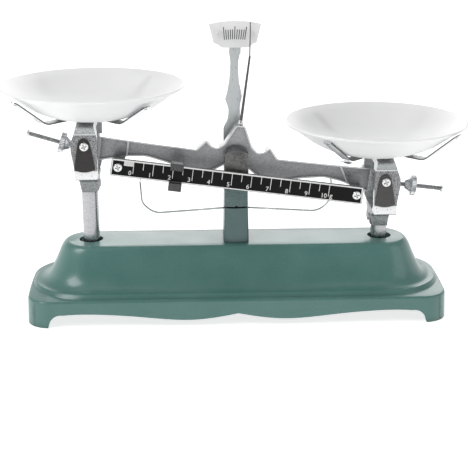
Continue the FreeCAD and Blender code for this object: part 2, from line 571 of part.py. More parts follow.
front_out = [(-6.9, -17.4, 1.0), (-7.5, -9.5, 3), (-7.7, 8.0, 3), (-7.3, 12.2, 2), (-5.6, 17.2, 3), (-5.6, 20.0), (5.4, 20.0),
             (5.4, 17.4, 3), (7.0, 12.2, 3), (9.0, 7.0, 3), (9.0, 1.5, 3), (7.3, -9.0, 4), (7.2, -17.4, 1.0), (5.8, -18.6, 1),
             (4.9, -26.0, 2), (4.6, -31.5), (-4.9, -31.5), (-5.8, -26.5, 2), (-7.2, -19.0, 1.5)]
rear_out = [q for q in front_out if q[1] < 12.0]
i = [q[1] for q in rear_out].index(8.0)
rear_out[i + 1:i + 1] = [(-7.6, 20.0), (7.6, 20.0)]           # the rear arm has no neck
i = [q[1] for q in rear_out].index(-31.5)
rear_out[i + 1:] = [(-6.6, -31.5), (-6.6, -29.5, 1), (-5.2, -25.0, 3), (-5.2, -19.0, 3)]


def carrier_loop(front, screw_x):
    s = prism_x(loop_out, -12, 12).cut(prism_x(loop_in, -13, 13))
    s = s.common(fuse(prism_y(front, -30, 7), prism_y(rear_out, 7, 30)))
    s = s.fuse(Part.makeCone(5.9, 7.1, 6.2, V(-0.3, 0, -30.6), Z))
    for sy in (-1, 1):
        y0, y1 = sorted((sy * 19, sy * 30))
        s = s.cut(box(-3.6, 3.6, y0, y1, -6.4, 3.2))
        s = s.cut(cyl(V(screw_x, 0, SCREW_DZ), Y * sy, 1.25, 30))
    s = s.cut(cyl(V(0, 0, 0), Z, 1.6, 30))
    s = s.cut(cyl(V(0, 0, -40), Z, 3.0, 18.0))
    return s.removeSplitter()


# the left carrier is turned the other way round, but its plates are not mirrored
loops = {"right": carrier_loop(front_out, -0.4), "left": carrier_loop(front_out, 0.4)}

bear = []
for sy in (-1, 1):
    y0, y1 = sorted((sy * 21.0, sy * 25.9))
    b = box(-3.6, 3.6, y0, y1, -1.5, 3.2)
    g = 1.8 * math.tan(math.radians(60))
    b = b.cut(prism_y([(0, 0.04), (g, -1.76), (-g, -1.76)], y0 - 1, y1 + 1))
    bear.append(b)

shield = [(-0.9 - 3.5, 6.2, 0), (-7.3, -9.8, 0.8), (-3.6, -11.3, 6), (1.6, -11.5, 6), (5.9, -10.0, 0.8), (-0.9 + 3.5, 6.2, 0)]


def shield_plate(y0, y1):
    a, b = V(-4.35, y0, 6.4), V(3.05, y0, 6.4)
    arc = Part.Arc(a, V(-0.5, y0, 9.9), b).toShape()
    low = Part.Arc(V(6.0, y0, -9.9), V(-0.7, y0, -11.7), V(-7.3, y0, -9.9)).toShape()
    w = Part.Wire([arc, Part.LineSegment(b, V(6.0, y0, -9.9)).toShape(), low,
                   Part.LineSegment(V(-7.3, y0, -9.9), a).toShape()])
    return Part.Face(w).extrude(V(0, y1 - y0, 0))


covers, cscrews = [], []
for sy in (-1, 1):
    s = shield_plate(-27.2, -26.0)
    if sy > 0:
        s = s.mirror(O, Y)
    s = s.cut(cyl(V(-0.4, 0, SCREW_DZ), Y * sy, 1.5, 40))
    covers.append(s)
    cscrews.append(pan_head(V(-0.4, sy * 27.2, SCREW_DZ), Y * sy, 2.9, 1.1, 1.2, 4.6))

# cross support: two flat strips crossing under the pan, turned up at their ends
BEND, STRIP_W = 25.2 * math.sqrt(2), 7.0


def strip(angle, tip_a, tip_b):
    zt = LOOP_TOP
    low, upp, ends = [], [], []
    for sx, (tr, tz) in ((-1, tip_a), (1, tip_b)):
        slope = math.atan2(tz - zt, tr - BEND)
        nx, nz = -math.sin(slope) * CROSS_T, math.cos(slope) * CROSS_T
        hb = BEND - math.tan(slope / 2) * CROSS_T
        lo = [(sx * tr, tz), (sx * BEND, zt, 9)]
        hi = [(sx * (tr + nx), tz + nz), (sx * hb, zt + CROSS_T, 9 - CROSS_T)]
        low += lo if sx < 0 else lo[::-1]
        upp += hi if sx < 0 else hi[::-1]
        ends.append((sx, slope, tr, tz))
    s = prism_y(low + upp[::-1], -STRIP_W / 2, STRIP_W / 2)
    # rounded ends with a small hole, square to the turned-up part
    for sx, slope, tr, tz in ends:
        t = V(sx * math.cos(slope), 0, math.sin(slope))
        n = V(-sx * math.sin(slope), 0, math.cos(slope))
        c = V(sx * tr, 0, tz) - t * (STRIP_W / 2)
        blk = Part.makeBox(STRIP_W, STRIP_W + 2, 6, V(0, -(STRIP_W / 2 + 1), -3))
        blk = blk.cut(Part.makeCylinder(STRIP_W / 2, 8, V(0, 0, -4), Z))
        if sx > 0:
            m = FreeCAD.Matrix(t.x, 0, n.x, c.x, 0, 1, 0, c.y, t.z, 0, n.z, c.z, 0, 0, 0, 1)
        else:
            blk = blk.mirror(O, Y)
            m = FreeCAD.Matrix(t.x, 0, n.x, c.x, 0, -1, 0, c.y, t.z, 0, n.z, c.z, 0, 0, 0, 1)
        s = s.cut(blk.transformed(m))
        s = s.cut(Part.makeCylinder(1.1, 8, c - n * 4, n))
    s.rotate(O, Z, angle)
    return s


def pan_cross(front_in, front_out_tip, rear_in, rear_out_tip):
    s = strip(45, front_in, rear_out_tip).fuse(strip(-45, rear_in, front_out_tip)).removeSplitter()
    return s.cut(cyl(V(0, 0, 0), Z, 1.6, 40)).cut(Part.makeCone(1.6, 2.75, CROSS_T, V(0, 0, LOOP_TOP), Z))


# each arm is bent by hand, so no two ends stand at the same height: (reach, height)
crosses = {"right": pan_cross((58.8, 35.4), (60.0, 39.0), (58.5, 35.2), (58.5, 36.3)),
           "left": pan_cross((58.8, 33.0), (59.2, 36.6), (58.5, 35.2), (58.5, 36.3))}
csk = Part.makeCylinder(1.55, 8.0, V(0, 0, LOOP_TOP - 8 + 0.05), Z).fuse(
    Part.makeCone(1.55, 2.5, 0.75, V(0, 0, LOOP_TOP + 0.05), Z)).removeSplitter()
for a in (0, 90):
    b = box(-1.4, 1.4, -0.3, 0.3, LOOP_TOP + 0.4, LOOP_TOP + 3)
    b.rotate(O, Z, a + 30)
    csk = csk.cut(b)

DL = KNIFE_Z - LINK_Z                             # knife edge above link pin
stem = fuse(cyl(V(0, 0, -DL - 4.6), Z, STEM_R, DL + 4.6 - 30.6), cyl(V(0, 0, -30.6), Z, 2.95, 7.5))
stem = stem.cut(box(-10, 10, -1.75, 1.75, -DL - 10, -DL + 7.2))
stem = stem.cut(cyl(V(0, -10, -DL), Y, 1.5, 20))
spin = cyl(V(0, -5.0, -DL), Y, 1.5, 10.0)

for side, P, fl in (("right", RK, False), ("left", LK, True)):
    g = (lambda s: at(flip(s), P)) if fl else (lambda s: at(s, P))
    out(side + "_carrier_frame", g(loops[side]))
    out(side + "_end_bearings", *[g(s) for s in bear])
    out(side + "_cover_plates", *[at(s, P) for s in covers])
    out(side + "_cover_screws", *[at(s, P) for s in cscrews])
    out(side + "_pan_cross", g(crosses[side]))
    out(side + "_cross_screw", at(csk, P))
    out(side + "_stem", g(stem))
    out(side + "_stem_pin", at(spin, P))

# --------------------------------------------------------------------- pans
FLOOR = LOOP_TOP + CROSS_T + 0.03                 # underside of the pan above the knife edge
RIM = SCREW_DZ + 34.9
HT = RIM - FLOOR
prof = [(0, 0), (24.0, 0), (27.5, 0.8), (34.0, 3.2), (40.0, 6.0), (46.0, 9.9), (50.6, 13.3), (53.4, 15.4), (56.5, 17.2), (59.2, 18.6)]
sc = HT / 19.97
prof = [(r, z * sc) for r, z in prof]


def normal_pts(pts, t):
    res = []
    for i, (r, z) in enumerate(pts):
        a = pts[max(i - 1, 0)]
        b = pts[min(i + 1, len(pts) - 1)]
        dr, dz = b[0] - a[0], b[1] - a[1]
        n = math.hypot(dr, dz)
        res.append((max(r - dz / n * t, 0) if i else 0, z + dr / n * t))
    return res


inn = normal_pts(prof, PAN_T)
inn[1] = (24.0, PAN_T)                            # the floor of the pan is flat
lo = Part.BSplineCurve()
lo.interpolate([V(r, 0, z) for r, z in prof[1:]])
up = Part.BSplineCurve()
up.interpolate([V(r, 0, z) for r, z in reversed(inn[1:])])
rim = Part.Arc(V(prof[-1][0], 0, prof[-1][1]), V(60.0, 0, HT - 0.5), V(inn[-1][0], 0, inn[-1][1])).toShape()
w = Part.Wire([Part.LineSegment(V(0, 0, 0), V(prof[1][0], 0, 0)).toShape(), lo.toShape(), rim, up.toShape(),
               Part.LineSegment(V(inn[1][0], 0, inn[1][1]), V(0, 0, PAN_T)).toShape(),
               Part.LineSegment(V(0, 0, PAN_T), V(0, 0, 0)).toShape()])
pan = Part.Face(w).revolve(O, Z, 360)
if pan.Volume < 0:
    pan.reverse()
out("right_pan", at(pan, RK + V(-PAN_SHIFT, 0, FLOOR)))
out("left_pan", at(pan, LK + V(PAN_SHIFT, 0, FLOOR)))
print("nodes", len(NODES))
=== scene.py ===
import json
import math
import bpy
import bmesh
from mathutils import Matrix, Vector


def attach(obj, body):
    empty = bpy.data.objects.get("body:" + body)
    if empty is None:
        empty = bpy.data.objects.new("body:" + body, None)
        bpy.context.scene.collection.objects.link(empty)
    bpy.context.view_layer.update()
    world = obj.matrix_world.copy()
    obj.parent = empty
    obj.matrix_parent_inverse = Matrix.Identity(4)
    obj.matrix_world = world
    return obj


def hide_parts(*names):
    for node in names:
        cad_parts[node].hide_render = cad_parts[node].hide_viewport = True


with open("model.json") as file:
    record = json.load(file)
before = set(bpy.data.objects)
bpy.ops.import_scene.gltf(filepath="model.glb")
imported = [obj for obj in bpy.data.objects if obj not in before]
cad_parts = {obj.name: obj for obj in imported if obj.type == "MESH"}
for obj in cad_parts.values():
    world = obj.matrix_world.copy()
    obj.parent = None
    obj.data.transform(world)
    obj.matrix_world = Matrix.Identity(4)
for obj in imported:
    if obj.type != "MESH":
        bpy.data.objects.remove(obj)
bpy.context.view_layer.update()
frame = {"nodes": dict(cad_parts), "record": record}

scene = bpy.context.scene
NODES = frame["nodes"]
BODY = {}
for body, members in frame["record"]["behaviour"]["bodies"].items():
    for n in members:
        BODY[n] = body

# the dimensions of the CAD model that the added pieces need, in metres
TH = math.radians(7.6)
KNIFE_Z, ARM = 0.0973, 0.09674
BAR_Y0, BAR_Y1 = -0.0196, -0.0176
BAR_U0, BAR_U1, BAR_V0, BAR_V1 = -0.0804, 0.0839, -0.0137, -0.0022
SCALE_U0, STEP = -0.0657, 0.01269
RK = Vector((ARM * math.cos(TH), 0, KNIFE_Z - ARM * math.sin(TH)))
LK = Vector((-ARM * math.cos(TH), 0, KNIFE_Z + ARM * math.sin(TH)))
BEAM = Matrix.Translation((0, 0, KNIFE_Z)) @ Matrix.Rotation(TH, 4, "Y")   # beam frame (u, y, v) to its place


# ------------------------------------------------------------------ materials
def tree(name):
    m = bpy.data.materials.new(name)
    m.use_nodes = True
    nt = m.node_tree
    nt.nodes.clear()
    out = nt.nodes.new("ShaderNodeOutputMaterial")
    b = nt.nodes.new("ShaderNodeBsdfPrincipled")
    nt.links.new(b.outputs["BSDF"], out.inputs["Surface"])
    co = nt.nodes.new("ShaderNodeTexCoord")
    return m, nt, b, co


def noise(nt, co, scale, detail=3.0, rough=0.55, stretch=None, distort=0.0):
    n = nt.nodes.new("ShaderNodeTexNoise")
    n.inputs["Scale"].default_value = scale
    n.inputs["Detail"].default_value = detail
    n.inputs["Roughness"].default_value = rough
    n.inputs["Distortion"].default_value = distort
    if stretch:
        mp = nt.nodes.new("ShaderNodeMapping")
        mp.inputs["Scale"].default_value = stretch
        if len(stretch) > 3:
            mp.inputs["Rotation"].default_value = stretch[3:]
        nt.links.new(co.outputs["Object"], mp.inputs["Vector"])
        nt.links.new(mp.outputs["Vector"], n.inputs["Vector"])
    else:
        nt.links.new(co.outputs["Object"], n.inputs["Vector"])
    return n


def ramp(nt, src, stops):
    r = nt.nodes.new("ShaderNodeValToRGB")
    e = r.color_ramp.elements
    while len(e) < len(stops):
        e.new(0.5)
    for el, (p, c) in zip(e, stops):
        el.position = p
        el.color = c if len(c) == 4 else (c[0], c[1], c[2], 1)
    nt.links.new(src, r.inputs["Fac"])
    return r


def grey(v):
    return (v, v, v, 1)


def bump(nt, b, src, dist, strength=1.0, prev=None):
    n = nt.nodes.new("ShaderNodeBump")
    n.inputs["Distance"].default_value = dist
    n.inputs["Strength"].default_value = strength
    nt.links.new(src, n.inputs["Height"])
    if prev is not None:
        nt.links.new(prev.outputs["Normal"], n.inputs["Normal"])
    nt.links.new(n.outputs["Normal"], b.inputs["Normal"])
    return n


def mix_rgb(nt, fac, a, b, mode="MIX"):
    m = nt.nodes.new("ShaderNodeMix")
    m.data_type = "RGBA"
    m.blend_type = mode
    for sock, v in ((m.inputs[0], fac), (m.inputs[6], a), (m.inputs[7], b)):
        if isinstance(v, bpy.types.NodeSocket):
            nt.links.new(v, sock)
        elif isinstance(v, (int, float)):
            sock.default_value = v
        else:
            sock.default_value = v
    return m.outputs[2]


def metal(name, lo, hi, rough, grain=900.0, depth=0.000006, spread=0.05, stretch=None, cast=0.0, metallic=1.0, ao_shade=0.0):
    """Metal whose colour runs from lo to hi with its grain; cast adds a coarser foundry texture; the ambient occlusion
    factor paints shade into the colour, darker in crevices and recesses.
    """
    m, nt, b, co = tree(name)
    n = noise(nt, co, grain, 4.0, 0.6, stretch)
    c = ramp(nt, n.outputs["Fac"], [(0.32, lo), (0.68, hi)])
    col = c.outputs["Color"]
    # painted shade: ambient occlusion darkens the colour in crevices and between parts
    if ao_shade:
        a = nt.nodes.new("ShaderNodeAmbientOcclusion")
        a.inputs["Distance"].default_value = 0.004
        a.samples = 8
        r = ramp(nt, a.outputs["AO"], [(0.35, grey(1 - ao_shade)), (0.95, grey(1.0))])
        col = mix_rgb(nt, 1.0, col, r.outputs["Color"], "MULTIPLY")
    nt.links.new(col, b.inputs["Base Color"])
    b.inputs["Metallic"].default_value = metallic
    rr = ramp(nt, n.outputs["Fac"], [(0.25, grey(max(rough - spread, 0.02))), (0.75, grey(rough + spread))])
    nt.links.new(rr.outputs["Color"], b.inputs["Roughness"])
    p = bump(nt, b, n.outputs["Fac"], depth, 0.6)
    if cast:
        v = noise(nt, co, grain * 0.45, 6.0, 0.7)
        bump(nt, b, v.outputs["Fac"], cast, 0.8, p)
    return m


def paint(name, lo, hi, rough, coat=0.0, orange=0.00002, metallic=0.0, ao_shade=0.45, spec=0.5, speck=(0.9, 1.08), grain=1500.0):
    """Sprayed enamel: slight orange peel, with painted shade: ambient occlusion darkens the colour in corners and
    recesses, leaving open faces paler.
    """
    m, nt, b, co = tree(name)
    big = noise(nt, co, 45.0, 3.0, 0.5)
    fine = noise(nt, co, grain, 3.0, 0.6)
    c = ramp(nt, big.outputs["Fac"], [(0.3, lo), (0.7, hi)])
    f = ramp(nt, fine.outputs["Fac"], [(0.3, grey(speck[0])), (0.7, grey(speck[1]))])
    col = mix_rgb(nt, 1.0, c.outputs["Color"], f.outputs["Color"], "MULTIPLY")
    # painted shade: ambient occlusion darkens the colour in corners and recesses
    a = nt.nodes.new("ShaderNodeAmbientOcclusion")
    a.inputs["Distance"].default_value = 0.006
    a.samples = 8
    r = ramp(nt, a.outputs["AO"], [(0.3, grey(1 - ao_shade)), (0.9, grey(1.0))])
    col = mix_rgb(nt, 1.0, col, r.outputs["Color"], "MULTIPLY")
    nt.links.new(col, b.inputs["Base Color"])
    b.inputs["Metallic"].default_value = metallic
    rr = ramp(nt, big.outputs["Fac"], [(0.3, grey(rough - 0.05)), (0.7, grey(rough + 0.06))])
    nt.links.new(rr.outputs["Color"], b.inputs["Roughness"])
    b.inputs["Coat Weight"].default_value = coat
    b.inputs["Specular IOR Level"].default_value = spec
    b.inputs["Coat Roughness"].default_value = 0.16
    peel = noise(nt, co, 420.0, 2.0, 0.5)
    p = bump(nt, b, peel.outputs["Fac"], orange, 0.7)
    bump(nt, b, fine.outputs["Fac"], orange * 0.35, 0.6, p)
    return m


def plastic(name, lo, hi, rough, sss=0.0, scale=60.0):
    m, nt, b, co = tree(name)
    n = noise(nt, co, scale, 3.0, 0.5)
    c = ramp(nt, n.outputs["Fac"], [(0.3, lo), (0.7, hi)])
    nt.links.new(c.outputs["Color"], b.inputs["Base Color"])
    f = noise(nt, co, 900.0, 2.0, 0.5)
    rr = ramp(nt, f.outputs["Fac"], [(0.3, grey(rough - 0.04)), (0.7, grey(rough + 0.05))])
    nt.links.new(rr.outputs["Color"], b.inputs["Roughness"])
    if sss:
        b.inputs["Subsurface Weight"].default_value = sss
        b.inputs["Subsurface Radius"].default_value = (0.006, 0.006, 0.006)
        b.inputs["Subsurface Scale"].default_value = 1.0
    bump(nt, b, f.outputs["Fac"], 0.000004, 0.5)
    return m


M = {
    "base_paint": paint("enamel_green", (0.072, 0.180, 0.161, 1), (0.086, 0.200, 0.180, 1), 0.34, 0.32, 0.000018, 0.0, 0.45, 0.42),
    "pillar_paint": paint("enamel_green_pillar", (0.062, 0.122, 0.122, 1), (0.082, 0.148, 0.146, 1), 0.36, 0.25, 0.000018),
    "fork_paint": paint("enamel_green_hammered", (0.066, 0.122, 0.120, 1), (0.098, 0.165, 0.160, 1), 0.38, 0.15, 0.00003, 0.0, 0.45, 0.5,
                        (0.6, 1.35), 1100.0),
    "under_paint": paint("enamel_green_under", (0.08, 0.14, 0.13, 1), (0.10, 0.17, 0.155, 1), 0.62, 0.0, 0.00006),
    "fork_metal": metal("hammered_fork", (0.085, 0.088, 0.084, 1), (0.23, 0.23, 0.22, 1), 0.42, 1100.0, 0.000010, 0.06, None, 0.00001, 0.85, 0.5),
    "beam_web": metal("beam_web_cast", (0.24, 0.245, 0.255, 1), (0.46, 0.47, 0.48, 1), 0.42, 1900.0, 0.000012, 0.06, None, 0.000012, 0.9, 0.35),
    # painted shade: near-black cast metal for the hood's recessed front faces inside the arch, where shadow falls
    "hood_recess": metal("hood_recess_painted_shade", (0.03, 0.03, 0.03, 1), (0.28, 0.28, 0.28, 1), 0.5, 1300.0, 0.00002, 0.06, None, 0.0, 0.6, 0.3),
    # a lighter copy of the beam metal: the rims' front faces, and painted light on the bearing hoods' upward roof
    "beam_face": metal("beam_rim_front", (0.44, 0.445, 0.455, 1), (0.68, 0.685, 0.695, 1), 0.34, 1900.0, 0.000008, 0.06, None, 0.000008, 0.9, 0.2),
    # painted highlight: a brighter, glossier copy of the beam metal for rim edges and upward faces that catch the light
    "beam_rim": metal("beam_rim_painted_highlight", (0.62, 0.63, 0.64, 1), (0.78, 0.785, 0.79, 1), 0.2, 1500.0, 0.000004, 0.05, None, 0.0, 1.0, 0.2),
    "carrier": metal("carrier_plated", (0.46, 0.475, 0.485, 1), (0.60, 0.615, 0.625, 1), 0.28, 700.0, 0.000005, 0.06, None, 0.000004, 1.0, 0.35),
    # dark grainy cast metal for the recessed front face beside the cover plate's top: partly the real rough casting,
    # partly painted shade under the shoulder
    "carrier_grain_and_shade": metal("carrier_cast_recess_shade", (0.035, 0.037, 0.04, 1), (0.52, 0.53, 0.54, 1), 0.42, 1300.0, 0.00003, 0.08, None, 0.00003, 0.9, 0.3),
    # painted highlight: a lighter, less metallic copy of the carrier plating for the front face below the cover plate
    "carrier_highlight": metal("carrier_plated_highlight", (0.80, 0.81, 0.82, 1), (0.88, 0.885, 0.89, 1), 0.3, 700.0, 0.000004, 0.05, None, 0.0, 0.45, 0.2),
    "carrier_rear": metal("carrier_plated_rear", (0.50, 0.515, 0.525, 1), (0.60, 0.615, 0.625, 1), 0.36, 700.0, 0.000005, 0.05, None, 0.0, 0.35, 0.15),
    "carrier_boss": metal("carrier_cast_boss", (0.16, 0.165, 0.17, 1), (0.46, 0.47, 0.48, 1), 0.42, 1300.0, 0.00002, 0.06, None, 0.00002, 0.7, 0.4),
    "stem": metal("stem_plated", (0.40, 0.405, 0.42, 1), (0.52, 0.525, 0.54, 1), 0.26, 700.0, 0.000004, 0.05, None, 0.0, 0.95, 0.5),
    "wire": metal("wire_bright", (0.42, 0.45, 0.45, 1), (0.56, 0.59, 0.59, 1), 0.25, 900.0, 0.000003, 0.05),
    "rod_steel": metal("rod_steel", (0.30, 0.305, 0.31, 1), (0.44, 0.445, 0.45, 1), 0.28, 1200.0, 0.000004, 0.05),
    # the strips' side faces: partly the sheared edge, partly painted shade on faces turned away from the light
    "strip_edge": metal("strip_sheared_edge_and_shade", (0.10, 0.10, 0.10, 1), (0.18, 0.18, 0.185, 1), 0.45, 900.0, 0.000006, 0.06),
    "steel": metal("steel_drawn", (0.42, 0.43, 0.44, 1), (0.58, 0.59, 0.60, 1), 0.26, 1200.0, 0.000004, 0.06, None),
    "steel_dark": metal("steel_oiled", (0.075, 0.077, 0.08, 1), (0.13, 0.132, 0.136, 1), 0.34, 1200.0, 0.000005, 0.06, None),
    "strip": metal("strip_polished", (0.60, 0.62, 0.63, 1), (0.72, 0.735, 0.745, 1), 0.22, 400.0, 0.000003, 0.05, (0.3, 0.3, 4.0)),
    "bright_screw": metal("screw_plated", (0.66, 0.66, 0.66, 1), (0.82, 0.82, 0.82, 1), 0.18, 2200.0, 0.000004, 0.05, None, 0.0, 1.0, 0.75),
    "column_metal": metal("column_plated", (0.46, 0.485, 0.495, 1), (0.56, 0.585, 0.595, 1), 0.3, 300.0, 0.000004, 0.05, (6.0, 1.0, 0.5), 0.0, 0.45),
    # painted shadow: near-black for the pillar's top band, standing for the shadow in the gap under the bearing fork
    "seam": paint("seam_gap_painted_shadow", (0.010, 0.010, 0.010, 1), (0.016, 0.016, 0.016, 1), 0.7, 0.0, 0.00002, 0.0, 0.3, 0.1),
    "cover_dark": paint("cover_enamel_dark", (0.056, 0.053, 0.052, 1), (0.085, 0.081, 0.080, 1), 0.45, 0.05, 0.00003, 0.0, 0.3, 0.35, (0.75, 1.2)),
    "cover_darker": paint("cover_enamel_darker", (0.032, 0.029, 0.029, 1), (0.048, 0.045, 0.044, 1), 0.45, 0.0, 0.00003, 0.0, 0.3, 0.25, (0.75, 1.2)),
    "scale_black": paint("scale_enamel_black", (0.0055, 0.0055, 0.006, 1), (0.0085, 0.0085, 0.009, 1), 0.4, 0.0, 0.00001, 0.0, 0.2, 0.12),
    "print_white": plastic("print_white", (0.66, 0.66, 0.64, 1), (0.76, 0.76, 0.74, 1), 0.5, 0.0, 1500.0),
    "print_black": plastic("print_black", (0.012, 0.012, 0.013, 1), (0.03, 0.03, 0.032, 1), 0.5, 0.0, 1500.0),
    "bar_edge": metal("scale_edge_bare", (0.52, 0.52, 0.52, 1), (0.72, 0.72, 0.72, 1), 0.26, 1800.0, 0.000004, 0.06),
    "rider_front": metal("rider_cast", (0.018, 0.018, 0.019, 1), (0.15, 0.15, 0.155, 1), 0.42, 1700.0, 0.00002, 0.08, None, 0.00002, 0.8),
    "dark_nickel": metal("dark_nickel", (0.16, 0.16, 0.165, 1), (0.26, 0.26, 0.265, 1), 0.3, 1500.0, 0.000006, 0.06),
    "nut": metal("nut_plated", (0.72, 0.73, 0.76, 1), (0.86, 0.87, 0.89, 1), 0.26, 2600.0, 0.000006, 0.06, None, 0.0, 1.0, 0.5),
    "pan_plastic": plastic("pan_white", (0.845, 0.845, 0.845, 1), (0.86, 0.86, 0.86, 1), 0.42, 0.35),
    "dial_plastic": plastic("dial_white", (0.74, 0.74, 0.74, 1), (0.78, 0.78, 0.78, 1), 0.38, 0.1, 90.0),
    "bearing_steel": metal("bearing_hardened", (0.16, 0.165, 0.17, 1), (0.26, 0.265, 0.275, 1), 0.2, 900.0, 0.000003, 0.04),
}

BY_SLOT = {"base_paint": "base_paint", "fork_metal": "fork_metal", "beam_metal": "beam_web", "carrier_metal": "carrier",
           "steel": "steel", "bright_screw": "bright_screw", "column_metal": "column_metal", "cover_dark": "cover_dark",
           "scale_black": "scale_black", "dark_nickel": "dark_nickel", "pan_plastic": "pan_plastic",
           "dial_plastic": "dial_plastic", "bearing_steel": "bearing_steel"}
SLOT = {s["node"]: s["material_slot"] for s in frame["record"]["subparts"]}


def paint_node(obj, mat):
    obj.data.materials.clear()
    obj.data.materials.append(mat)


for n, obj in NODES.items():
    for i in range(max(1, len(obj.material_slots))):
        if not obj.material_slots:
            obj.data.materials.append(M[BY_SLOT[SLOT[n]]])
        else:
            obj.material_slots[i].link = "OBJECT"
            obj.material_slots[i].material = M[BY_SLOT[SLOT[n]]]


# -------------------------------------------------------------------- helpers
def put(name, bm, body, mats, nodes=(), smooth=32.0, matrix=None):
    me = bpy.data.meshes.new(name)
    if matrix is not None:
        bmesh.ops.transform(bm, matrix=matrix, verts=bm.verts)
    bmesh.ops.recalc_face_normals(bm, faces=bm.faces)
    bm.to_mesh(me)
    bm.free()
    for m in mats:
        me.materials.append(m)
    if smooth:
        for p in me.polygons:
            p.use_smooth = True
        me.set_sharp_from_angle(angle=math.radians(smooth))
    ob = bpy.data.objects.new(name, me)
    scene.collection.objects.link(ob)
    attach(ob, body)
    if nodes:
        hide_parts(*nodes)
    return ob


def from_node(node, dissolve=0.4):
    bm = bmesh.new()
    bm.from_mesh(NODES[node].data)
    bmesh.ops.remove_doubles(bm, verts=bm.verts, dist=3e-6)
    bmesh.ops.dissolve_degenerate(bm, edges=bm.edges, dist=2e-6)
    if dissolve:
        bmesh.ops.dissolve_limit(bm, angle_limit=math.radians(dissolve), use_dissolve_boundaries=False,
                                 verts=bm.verts, edges=bm.edges)
    return bm


def soften(ob, width, angle=33.0, segments=2):
    b = ob.modifiers.new("edge", "BEVEL")
    b.width = width
    b.segments = segments
    b.limit_method = "ANGLE"
    b.angle_limit = math.radians(angle)
    b.use_clamp_overlap = True
    b.harden_normals = True
    b.miter_outer = "MITER_ARC"
    return ob


def fine(node, mats, width, rule=None, angle=33.0, smooth=32.0, segments=2, name=None, dissolve=0.4, cuts=()):
    """The node's own shape as a new mesh, with rounded edges and a material for each kind of face."""
    bm = from_node(node, dissolve)
    for co, no in cuts:
        bmesh.ops.bisect_plane(bm, geom=list(bm.verts) + list(bm.edges) + list(bm.faces), dist=1e-7, plane_co=co, plane_no=no)
    if rule:
        bm.normal_update()
        for f in bm.faces:
            f.material_index = rule(f.calc_center_median(), f.normal)
    ob = put(name or node + "_finished", bm, BODY[node], mats, (node,), smooth)
    if width:
        soften(ob, width, angle, segments)
    return ob


def beam_uv(p):
    """World point to beam frame."""
    x, z = p.x, p.z - KNIFE_Z
    return x * math.cos(TH) - z * math.sin(TH), p.y, x * math.sin(TH) + z * math.cos(TH)


# ----------------------------------------------------------------------- base
def base_rule(c, n):
    if n.z < -0.35 and c.z > 0.009:
        return 1
    inner = abs(c.y) < 0.0415 and abs(c.x) < 0.1322 and c.z < 0.0145 and c.z > 0.0002
    return 1 if inner and abs(n.z) < 0.5 else 0


fine("base_casting", [M["base_paint"], M["under_paint"]], 0.0007, base_rule, 25.0, 24.0, 3)
# the pillar's top band above the cut takes the seam material: painted shadow in the gap under the fork
def pillar_rule(c, n):
    return 1 if c.z > 0.0692 else 0


fine("pillar", [M["pillar_paint"], M["seam"]], 0.0003, pillar_rule, 30.0, 30.0, cuts=[((0, 0, 0.06905), (0, 0, 1))])
fine("bearing_fork", [M["fork_paint"]], 0.0003, None, 30.0, 30.0)


# painted light on the hoods: upward faces within 6.9 mm of the middle take the bright rim metal as painted highlight,
# the rest of the roof the lighter beam face metal, its outermost strip the dark steel as painted shade, and the
# recessed front faces the near-black recess metal as painted shade
def hood_rule(c, n):
    y = abs(c.y)
    if c.z > KNIFE_Z + 0.0055:
        if n.z > 0.3:
            return 2 if y < 0.0069 else (4 if y > 0.01285 else 3)
        if abs(n.y) > 0.9 and y < 0.0075:
            return 1
    return 0


fine("bearing_hoods", [M["fork_metal"], M["hood_recess"], M["beam_rim"], M["beam_face"], M["steel_dark"]], 0.00018, hood_rule, 35.0, 30.0,
     cuts=[((0, -0.0129, 0), (0, 1, 0)), ((0, 0.0129, 0), (0, 1, 0))])



# ----------------------------------------------------------------------- beam
# the rims' edge faces, which catch the light, take the bright rim metal as a painted highlight; the rims' front faces
# take the lighter face metal
def beam_rule(c, n):
    u, y, v = beam_uv(c)
    if abs(n.y) > 0.9 and abs(abs(y) - 0.0029) < 0.0007 and abs(u) < 0.09:
        return 0
    if abs(u) > 0.0885:
        return 2
    if abs(n.y) > 0.9:
        return 3
    return 1


fine("beam_casting", [M["beam_web"], M["beam_rim"], M["carrier"], M["beam_face"]], 0.0002, beam_rule, 30.0, 30.0)


# ------------------------------------------------------------------- carriers
def carrier_rule(K):
    def rule(c, n):
        dz = c.z - K.z
        if c.y > 0.0165:
            return 3
        if dz < -0.0178:
            return 4
        # front face: above the cut the grainy recess metal with painted shade, below it the lighter plated copy as
        # painted highlight
        if abs(c.y + 0.026) < 0.0004 and n.y < -0.9:
            return 1 if dz > -0.0112 else 2
        return 0
    return rule


# side faces of the pan cross strips, picked by their normal, take the dark edge metal: partly the sheared edge, partly
# painted shade
def strip_rule(c, n):
    return 1 if abs(n.z) < 0.3 else 0


for side, K in (("right", RK), ("left", LK)):
    fine(side + "_carrier_frame", [M["carrier"], M["carrier_grain_and_shade"], M["carrier_highlight"], M["carrier_rear"], M["carrier_boss"]], 0.0002, carrier_rule(K),
         30.0, 30.0, cuts=[((0, 0, K.z - 0.0112), (0, 0, 1)), ((0, 0.0165, 0), (0, 1, 0))])
    fine(side + "_cover_plates", [M["cover_dark"] if side == "right" else M["cover_darker"]], 0.00018)
    fine(side + "_cover_screws", [M["bright_screw"]], 0.00012)
    fine(side + "_pan_cross", [M["strip"], M["strip_edge"]], 0.00012, strip_rule, 40.0, 30.0)
    fine(side + "_stem", [M["stem"]], 0.0003)
fine("scale_screws", [M["bright_screw"]], 0.00012)
fine("dial_screws", [M["dial_plastic"]], 0.0001)
fine("dial_column", [M["column_metal"]], 0.00025)
fine("dial_plate", [M["dial_plastic"]], 0.0002)
fine("pointer_ferrule", [M["bright_screw"]], 0.0001)
fine("trim_weight", [M["dark_nickel"]], 0.0002)


